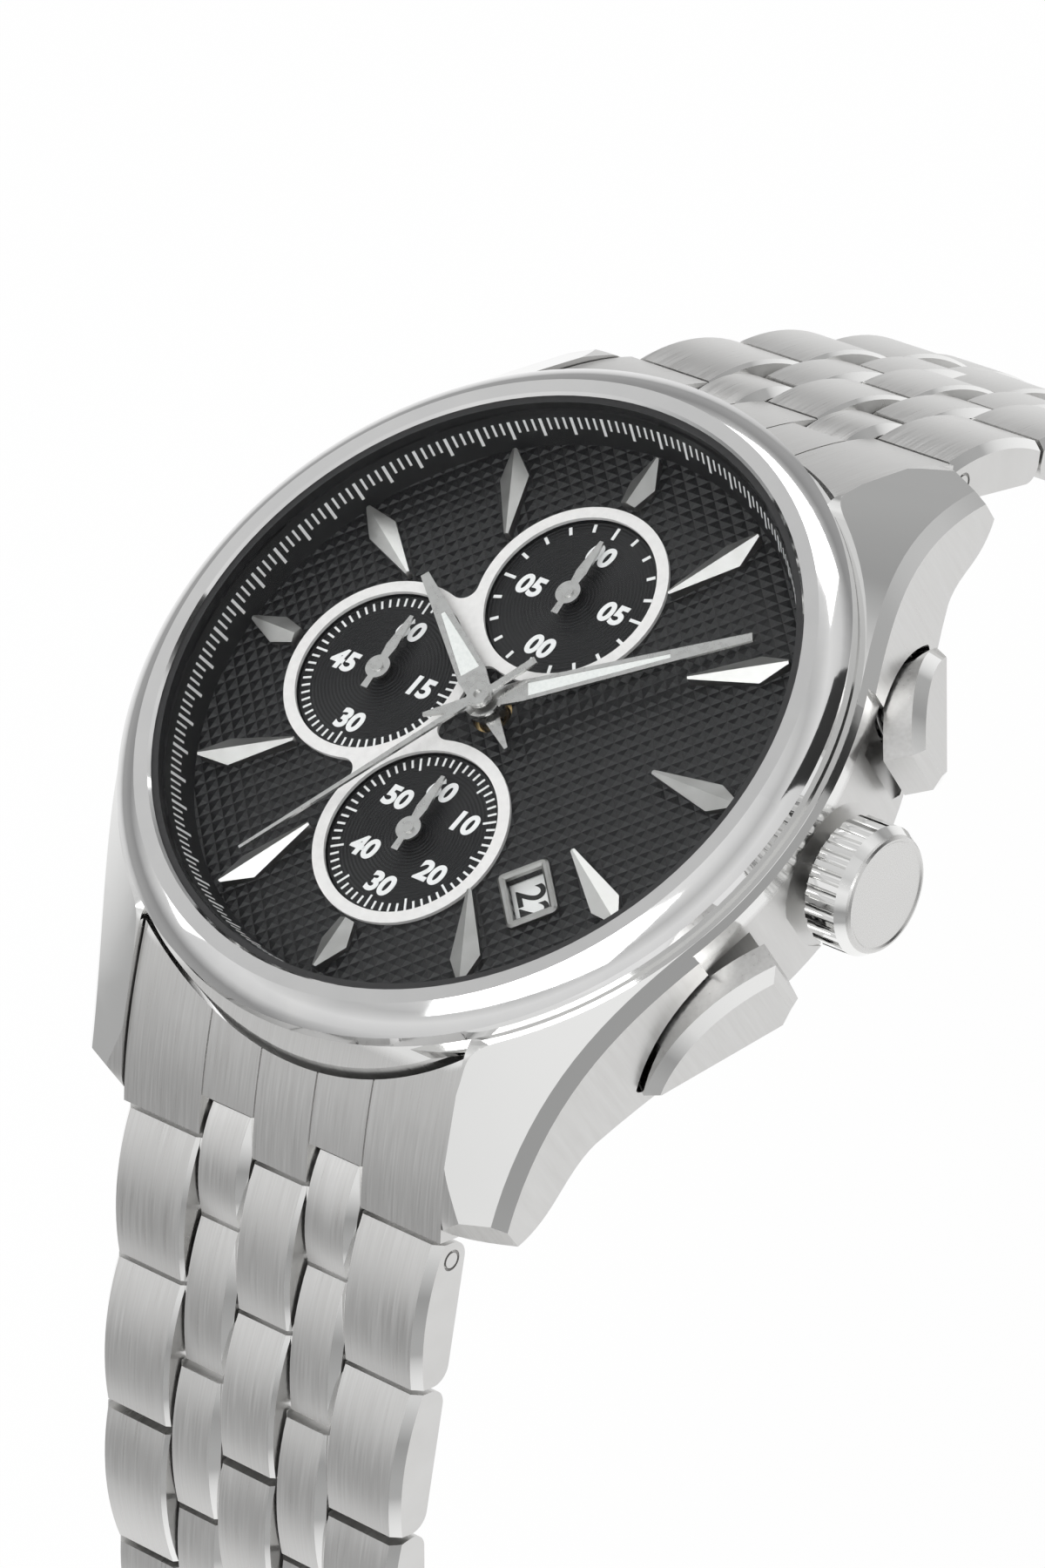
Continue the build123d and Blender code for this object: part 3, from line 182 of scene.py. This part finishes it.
def steel(name, level=0.68, polished=None, grain=(9000, 260, 260), rough=(0.26, 0.40),
          shine=0.07, depth=2.5e-6):
    """Steel brushed along the slow axes of grain, and polished where the polished mask is 1; there its
    colour is also lightened as a painted highlight.
    """
    made = Nodes(name)
    made.shader.inputs["Metallic"].default_value = 1.0
    lines = made.noise(grain)
    cloud = made.noise((160, 160, 160), detail=2)
    mixed = made.math("ADD", made.math("MULTIPLY", lines, 0.75), made.math("MULTIPLY", cloud, 0.25))
    dark = (level - 0.06, level - 0.065, level - 0.075)
    light = (level + 0.03, level + 0.028, level + 0.02)
    brushed_colour = made.colour(mixed, dark, light)
    brushed = made.spread(mixed, *rough)
    if polished is None:
        made.roughness(brushed)
        made.bump(lines, depth)
    else:
        mask = polished(made)
        # painted highlight: where the polished mask is 1, the colour is lightened as well as made smoother
        colour_with_painted_highlight = made.add("ShaderNodeMix", data_type="RGBA")
        made.link(mask, colour_with_painted_highlight.inputs[0])
        made.link(brushed_colour, colour_with_painted_highlight.inputs[6])
        colour_with_painted_highlight.inputs[7].default_value = (POLISHED_HIGHLIGHT_LEVEL, POLISHED_HIGHLIGHT_LEVEL, POLISHED_HIGHLIGHT_LEVEL * 0.99, 1)
        made.link(colour_with_painted_highlight.outputs[2], made.shader.inputs["Base Color"])
        made.roughness(made.blend(mask, brushed, made.spread(cloud, shine * 0.8, shine * 1.25)))
        made.bump(made.math("MULTIPLY", lines, made.math("SUBTRACT", 1.0, mask)), depth)
    return made.material


def band(made, value, low, high, soft=0.02):
    """1 where value lies between low and high."""
    up = made.spread(value, 0.0, 1.0, low - soft, low + soft)
    down = made.spread(value, 1.0, 0.0, high - soft, high + soft)
    return made.math("MULTIPLY", up, down)


def link_bevels(made):
    return band(made, made.facing(0), 0.17, 0.96)


def case_polish(made):
    """The lug bevels and the ring under the bezel; the sides and the tops stay brushed. The polished parts
    also get steel's lighter, painted highlight colour.
    """
    x, y, z = made.axes(made.position())
    side = made.facing(0)
    up = made.facing(2)
    bevel = made.math("MULTIPLY", band(made, side, 0.3, 0.9), band(made, up, 0.25, 0.93))
    radius = made.math("SQRT", made.math("ADD", made.math("MULTIPLY", x, x), made.math("MULTIPLY", y, y)))
    ring = made.math("MULTIPLY", band(made, radius, 0.0150, 0.0209, 0.0001),
                     band(made, z, 0.0080, 0.0200, 0.0002))
    return made.math("MAXIMUM", bevel, ring)


def polished_steel(name, level=0.74, rough=0.06):
    made = Nodes(name)
    made.shader.inputs["Metallic"].default_value = 1.0
    cloud = made.noise((400, 400, 400), detail=3)
    made.colour(cloud, (level - 0.02,) * 3, (level + 0.015, level + 0.013, level + 0.01))
    made.roughness(made.spread(cloud, rough * 0.75, rough * 1.3))
    made.bump(made.noise((3000, 3000, 3000), detail=2), 4e-7)
    return made.material


def dial_black():
    """Rows of small pyramids, and fine concentric grooves in the three sunk circles."""
    made = Nodes("dial_black")
    x, y, _ = made.axes(made.position())
    waves = []
    for along in (made.math("ADD", x, y), made.math("SUBTRACT", x, y)):
        turned = made.math("MULTIPLY", along, math.sqrt(0.5))
        waves.append(made.math("PINGPONG", turned, PYRAMID_PITCH * MM / 2))
    pyramids = made.math("MINIMUM", *waves)
    distances = []
    for cx, cy in SUBDIAL_CENTRES.values():
        dx = made.math("SUBTRACT", x, cx * MM)
        dy = made.math("SUBTRACT", y, cy * MM)
        squares = made.math("ADD", made.math("MULTIPLY", dx, dx), made.math("MULTIPLY", dy, dy))
        distances.append(made.math("SQRT", squares))
    nearest = made.math("MINIMUM", made.math("MINIMUM", distances[0], distances[1]), distances[2])
    grooves = made.math("PINGPONG", nearest, GROOVE_PITCH * MM / 2)
    sunk = made.math("LESS_THAN", nearest, SUBDIAL_RADIUS * MM)
    height = made.blend(sunk, made.math("MULTIPLY", pyramids, 0.40),
                        made.math("MULTIPLY", grooves, 0.22))
    made.bump(height, 1.0)
    grain = made.noise((5000, 5000, 5000))
    made.colour(grain, (0.006, 0.006, 0.007), (0.012, 0.012, 0.013))
    made.roughness(made.spread(grain, 0.30, 0.42))
    made.shader.inputs["Specular IOR Level"].default_value = 0.3
    return made.material


def coated(name, dark, light, rough, scale=3000, depth=2e-6, metallic=0.0):
    made = Nodes(name)
    made.shader.inputs["Metallic"].default_value = metallic
    grain = made.noise((scale,) * 3)
    made.colour(grain, dark, light)
    made.roughness(made.spread(grain, *rough))
    made.bump(grain, depth)
    return made.material


def glass():
    """Flat sapphire with a coating, so that it hardly mirrors."""
    made = Nodes("crystal_glass")
    clear = made.add("ShaderNodeBsdfTransparent")
    clear.inputs["Color"].default_value = (0.97, 0.975, 0.975, 1)
    gloss = made.add("ShaderNodeBsdfGlossy")
    smear = made.noise((90, 90, 90), detail=2)
    made.link(made.spread(smear, 0.0, 0.03), gloss.inputs["Roughness"])
    edge = made.add("ShaderNodeLayerWeight")
    edge.inputs["Blend"].default_value = 0.12
    mix = made.add("ShaderNodeMixShader")
    made.link(made.spread(edge.outputs["Facing"], 0.004, 0.12, 0.1, 1.0), mix.inputs[0])
    made.link(clear.outputs[0], mix.inputs[1])
    made.link(gloss.outputs[0], mix.inputs[2])
    made.link(mix.outputs[0], made.output.inputs["Surface"])
    made.tree.nodes.remove(made.shader)
    return made.material


# ------------------------------------------------------------------ materials by record slot
finishes = {
    "case_steel": steel("case_steel", polished=case_polish),
    "polished_steel": polished_steel("polished_steel"),
    "pusher_steel": steel("pusher_steel", grain=(4000, 4000, 260),
                          polished=lambda made: band(made, made.facing(2), 0.2, 0.8)),
    "back_steel": steel("back_steel", grain=(400, 6000, 400)),
    "small_steel": steel("small_steel", level=0.6),
    "crystal_glass": glass(),
    "gasket_rubber": coated(
        "gasket_rubber", (0.012, 0.012, 0.013), (0.025, 0.025, 0.026), (0.5, 0.7)),
    "flange_black": coated(
        "flange_black", (0.010, 0.010, 0.011), (0.018, 0.018, 0.019), (0.38, 0.5)),
    "dial_black": dial_black(),
    "subdial_frame_silver": coated(
        "subdial_frame_silver", (0.86, 0.84, 0.83), (0.93, 0.91, 0.90), (0.38, 0.5), metallic=0.12),
    "marker_steel": steel(
        "marker_steel", level=0.46, grain=(900, 900, 900), rough=(0.30, 0.38), depth=5e-7),
    "date_disc_white": coated(
        "date_disc_white", (0.92, 0.92, 0.91), (0.96, 0.96, 0.95), (0.4, 0.55)),
    "movement_brass": coated(
        "movement_brass", (0.60, 0.43, 0.20), (0.72, 0.53, 0.27), (0.22, 0.36), metallic=1.0),
    "holder_plastic": coated(
        "holder_plastic", (0.62, 0.62, 0.60), (0.72, 0.72, 0.70), (0.4, 0.55)),
    "battery_steel": steel("battery_steel", grain=(400, 400, 400)),
    "hand_steel": steel(
        "hand_steel", level=0.62, grain=(2500, 2500, 2500), rough=(0.24, 0.34), depth=6e-7),
    "row_steel": steel("row_steel", polished=link_bevels),
    "bridge_steel": steel("bridge_steel", polished=link_bevels),
    "clasp_steel": steel("clasp_steel", polished=link_bevels),
}
for part in frame["record"]["subparts"]:
    mesh = nodes[part["node"]].data
    mesh.materials.clear()
    mesh.materials.append(finishes[part["material_slot"]])

# the crown's outer end is satin, and its fluted side is polished, with the lighter colour of a painted
# highlight
crown = nodes["crown"]
crown.data.materials.clear()
crown.data.materials.append(steel(
    "crown_steel", level=0.70, grain=(12000, 12000, 12000), rough=(0.24, 0.30), depth=3e-7,
    polished=lambda made: made.spread(made.axes(made.position())[0], 1.0, 0.0, 0.02378, 0.02382)))

print_white = coated("print_white", (0.90, 0.90, 0.90), (0.95, 0.95, 0.95), (0.45, 0.6))
print_black = coated("print_black", (0.012, 0.012, 0.012), (0.022, 0.022, 0.022), (0.45, 0.6))
lume = coated("lume_white", (0.82, 0.84, 0.82), (0.92, 0.93, 0.91), (0.55, 0.7), scale=6000)


# ------------------------------------------------------------------ printed pieces
def finish_piece(name, form, material, body):
    mesh = bpy.data.meshes.new(name)
    form.to_mesh(mesh)
    form.free()
    mesh.materials.append(material)
    piece = bpy.data.objects.new(name, mesh)
    bpy.context.scene.collection.objects.link(piece)
    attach(piece, body)


def add_block(form, place, low, high):
    """A thin box between two corners, moved by place, all in millimetres."""
    corners = [(x, y, z) for z in (low[2], high[2]) for x, y in (
        (low[0], low[1]), (high[0], low[1]), (high[0], high[1]), (low[0], high[1]))]
    made = [form.verts.new(place @ Vector(c) * MM) for c in corners]
    for face in ((0, 3, 2, 1), (4, 5, 6, 7), (0, 1, 5, 4), (1, 2, 6, 5), (2, 3, 7, 6), (3, 0, 4, 7)):
        form.faces.new([made[i] for i in face])


def add_text(form, words, size, place, weight=0.03, slant=0.0):
    """Raised letters with their middle at the origin of place, in millimetres."""
    curve = bpy.data.curves.new("letters", "FONT")
    curve.body = words
    curve.size = size
    curve.align_x = "CENTER"
    curve.offset = weight
    curve.shear = slant
    curve.extrude = PRINT_HALF_HEIGHT
    curve.resolution_u = 6
    holder = bpy.data.objects.new("letters", curve)
    bpy.context.scene.collection.objects.link(holder)
    bpy.context.view_layer.update()
    mesh = bpy.data.meshes.new_from_object(holder.evaluated_get(bpy.context.evaluated_depsgraph_get()))
    heights = [v.co.y for v in mesh.vertices]
    middle = (min(heights) + max(heights)) / 2
    widths = [v.co.x for v in mesh.vertices]
    centre = (min(widths) + max(widths)) / 2
    mesh.transform(Matrix.Scale(MM, 4) @ place @ Matrix.Translation((-centre, -middle, 0)))
    form.from_mesh(mesh)
    bpy.data.objects.remove(holder)
    bpy.data.meshes.remove(mesh)
    bpy.data.curves.remove(curve)


def turn(degrees):
    return Matrix.Rotation(math.radians(degrees), 4, "Z")


def spot(x, y, z):
    return Matrix.Translation((x, y, z))


# each scale: how many ticks, every which one is long, and its numbers with their places
print_level = DIAL_TOP - SUBDIAL_DEPTH + 0.014
side_numbers = 2.72
scales = {
    "fraction": (20, 5, [
        ("00", 0, 2.8), ("05", side_numbers, 0), ("00", 0, -3.1), ("05", -side_numbers, -0.1)]),
    "chrono_minutes": (60, 15, [
        ("60", 0, 2.8), ("15", side_numbers, 0), ("30", 0, -3.1), ("45", -side_numbers + 0.15, -0.1)]),
    "small_seconds": (60, 5, [
        ("60", 0, 2.8), ("10", 2.42, 1.6), ("20", 2.3, -1.55),
        ("30", 0.05, -3.1), ("40", -2.15, -1.6), ("50", -2.15, 1.55)]),
}
for name, (count, long_every, numbers) in scales.items():
    cx, cy = SUBDIAL_CENTRES[name]
    ticks = bmesh.new()
    half = 0.09 if count == 20 else 0.06
    outer = SUBDIAL_RADIUS - 0.22
    for k in range(count):
        inner = outer - (0.73 if k % long_every == 0 else 0.48)
        place = spot(cx, cy, print_level) @ turn(90 - 360 * k / count)
        add_block(ticks, place, (inner, -half, -PRINT_HALF_HEIGHT), (outer, half, PRINT_HALF_HEIGHT))
    finish_piece(name + "_ticks", ticks, print_white, "head")
    figures = bmesh.new()
    for words, dx, dy in numbers:
        place = spot(cx + dx, cy + dy, print_level)
        add_text(figures, words, 1.6, place, weight=0.065, slant=0.15)
    finish_piece(name + "_numbers", figures, print_white, "head")

# the seconds scale on the sloping flange
slope_x = FLANGE_HEAD[0] - FLANGE_FOOT[0]
slope_z = FLANGE_HEAD[1] - FLANGE_FOOT[1]
slope_length = math.hypot(slope_x, slope_z)
lean = Matrix.Rotation(-math.atan2(slope_z, slope_x), 4, "Y")
flange_ticks = bmesh.new()
for k in range(240):
    start = 0.30 if k % 4 == 0 else 0.47
    half = 0.085 if k % 4 == 0 else 0.065
    place = turn(90 - 1.5 * k) @ spot(FLANGE_FOOT[0], 0, FLANGE_FOOT[1]) @ lean
    add_block(flange_ticks, place, (start * slope_length, -half, 0.004), (0.80 * slope_length, half, 0.02))
finish_piece("flange_ticks", flange_ticks, print_white, "head")

# the month's numbers on the date disc
disc_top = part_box("date_disc")[1].z / MM + 0.004
days = bmesh.new()
for day in range(1, 32):
    angle = DATE_ANGLE + (day - 22) * 360 / 31
    add_text(days, str(day), 2.2, turn(angle) @ spot(DATE_RADIUS + 0.2, 0, disc_top), weight=0.035)
finish_piece("date_numbers", days, print_black, "date_disc")


def add_lume(name, body, angle, lift, length, half_width):
    """The white filling of a hand's tapering window, from near the hub to 0.7 of its length."""
    shape = bmesh.new()
    inset = 0.01
    near, far = 2.5 + inset, 0.7 * length - inset
    wide, narrow = half_width - 0.25 - inset, 0.11
    outline = [(near, wide), (far, narrow), (far, -narrow), (near, -wide)]
    bottom, top = DIAL_TOP + lift + 0.077, DIAL_TOP + lift + 0.140
    place = turn(angle)
    rings = [[shape.verts.new(place @ Vector((x, y, z)) * MM) for x, y in outline]
             for z in (bottom, top)]
    shape.faces.new(rings[1][::-1])
    shape.faces.new(rings[0])
    for k in range(4):
        shape.faces.new([rings[0][k], rings[1][k], rings[1][(k + 1) % 4], rings[0][(k + 1) % 4]])
    bmesh.ops.recalc_face_normals(shape, faces=shape.faces)
    finish_piece(name, shape, lume, body)


add_lume("hour_hand_lume", "hour_hand", 145.6, 0.75, 9.9, 0.8)
add_lume("minute_hand_lume", "minute_hand", 35.2, 1.2, 14.65, 0.65)

# ------------------------------------------------------------------ floor, light and camera
floor_mesh = bpy.data.meshes.new("floor")
reach = 3.0
floor_height = first_bounds[0].z - 0.0005
corners = ((-reach, -reach), (reach, -reach), (reach, reach), (-reach, reach))
floor_mesh.from_pydata([(x, y, floor_height) for x, y in corners], [], [(0, 1, 2, 3)])
floor = bpy.data.objects.new("floor", floor_mesh)
bpy.context.scene.collection.objects.link(floor)
pale = Nodes("floor_pale")
pale.colour(pale.noise((30, 30, 30)), (0.88, 0.88, 0.88), (0.90, 0.90, 0.90))
pale.roughness(0.9)
rays = pale.add("ShaderNodeLightPath")
glow = pale.add("ShaderNodeEmission")
glow.inputs["Color"].default_value = (1, 1, 1, 1)
away = pale.add("ShaderNodeVectorMath", operation="LENGTH")
pale.link(pale.position(), away.inputs[0])
# the lit table fades into the darker room, which only the metal mirrors
table = pale.spread(away.outputs["Value"], 1.0, 0.42, 0.18, 0.85)
pale.link(pale.blend(rays.outputs["Is Glossy Ray"], 1.0, table), glow.inputs["Strength"])
seen = pale.math("MAXIMUM", rays.outputs["Is Camera Ray"], rays.outputs["Is Transmission Ray"])
shown = pale.math("MAXIMUM", seen, rays.outputs["Is Glossy Ray"])
mix = pale.add("ShaderNodeMixShader")
pale.link(pale.math("MULTIPLY", shown, 0.96), mix.inputs[0])
pale.link(pale.shader.outputs[0], mix.inputs[1])
pale.link(glow.outputs[0], mix.inputs[2])
pale.link(mix.outputs[0], pale.output.inputs["Surface"])
floor_mesh.materials.append(pale.material)

world = bpy.data.worlds.new("studio")
bpy.context.scene.world = world
world.use_nodes = True
tree = world.node_tree
background = tree.nodes["Background"]
background.inputs["Color"].default_value = (1, 1, 1, 1)
paths = tree.nodes.new("ShaderNodeLightPath")
heading = tree.nodes.new("ShaderNodeTexCoord")
split = tree.nodes.new("ShaderNodeSeparateXYZ")
tree.links.new(heading.outputs["Generated"], split.inputs[0])
room = tree.nodes.new("ShaderNodeValToRGB")
stops = ((0.0, 0.42), (0.18, 0.34), (0.40, 0.78), (0.62, 0.90), (0.80, 0.62), (1.0, 1.0))
ramp = room.color_ramp
ramp.elements[0].position, ramp.elements[1].position = stops[0][0], stops[-1][0]
for position, _ in stops[1:-1]:
    ramp.elements.new(position)
for element, (position, shade) in zip(ramp.elements, stops):
    element.color = (shade, shade, shade, 1)
tree.links.new(split.outputs["Z"], room.inputs[0])


def world_mix(factor, a, b):
    """Strength a where factor is 0 and b where it is 1."""
    node = tree.nodes.new("ShaderNodeMix")
    for socket, value in zip((node.inputs[0], node.inputs[2], node.inputs[3]), (factor, a, b)):
        if isinstance(value, float):
            socket.default_value = value
        else:
            tree.links.new(value, socket)
    return node.outputs[0]


even = world_mix(paths.outputs["Is Glossy Ray"], 0.62, room.outputs[0])
tree.links.new(world_mix(paths.outputs["Is Camera Ray"], even, 1.0), background.inputs["Strength"])


def lamp(name, place, aim, width, height, power):
    light = bpy.data.lights.new(name, "AREA")
    light.shape = "RECTANGLE"
    light.size, light.size_y = width, height
    light.energy = power
    holder = bpy.data.objects.new(name, light)
    bpy.context.scene.collection.objects.link(holder)
    holder.location = place
    holder.rotation_mode = "QUATERNION"
    holder.rotation_quaternion = (Vector(aim) - Vector(place)).to_track_quat("-Z", "Y")


def card(name, corners, shade):
    """A matt board beside the set, which the polished metal mirrors."""
    mesh = bpy.data.meshes.new(name)
    mesh.from_pydata(corners, [], [(0, 1, 2, 3)])
    board = bpy.data.objects.new(name, mesh)
    bpy.context.scene.collection.objects.link(board)
    board.visible_camera = False
    mesh.materials.append(coated(name + "_paint", (shade * 0.9,) * 3, (shade,) * 3, (0.8, 0.9)))


lamp("key", (0.10, -0.25, 0.60), (0, 0, 0), 0.45, 0.35, 1.8)
lamp("front_left", (-0.50, -0.10, 0.40), (0, 0, 0), 0.28, 0.28, 0.35)
lamp("back", (-0.10, 0.60, 0.35), (0, 0, 0), 0.5, 0.25, 1.0)
card("card_dark_right",
     [(0.30, 0.15, 0.0), (0.30, 0.45, 0.0), (0.30, 0.45, 0.3), (0.30, 0.15, 0.3)], 0.02)

camera_data = bpy.data.cameras.new("camera")
camera = bpy.data.objects.new("camera", camera_data)
bpy.context.scene.collection.objects.link(camera)
ahead = Vector(CAMERA_AIM) - Vector(CAMERA_PLACE)
camera.location = Vector(CAMERA_PLACE) * MM
camera.rotation_mode = "QUATERNION"
camera.rotation_quaternion = ahead.to_track_quat("-Z", "Y") @ turn(CAMERA_ROLL).to_quaternion()
camera_data.sensor_width = 36.0
camera_data.lens = LENS
camera_data.clip_start = 0.01
camera_data.clip_end = 20.0
scene = bpy.context.scene
scene.camera = camera
scene.view_settings.view_transform = "Standard"
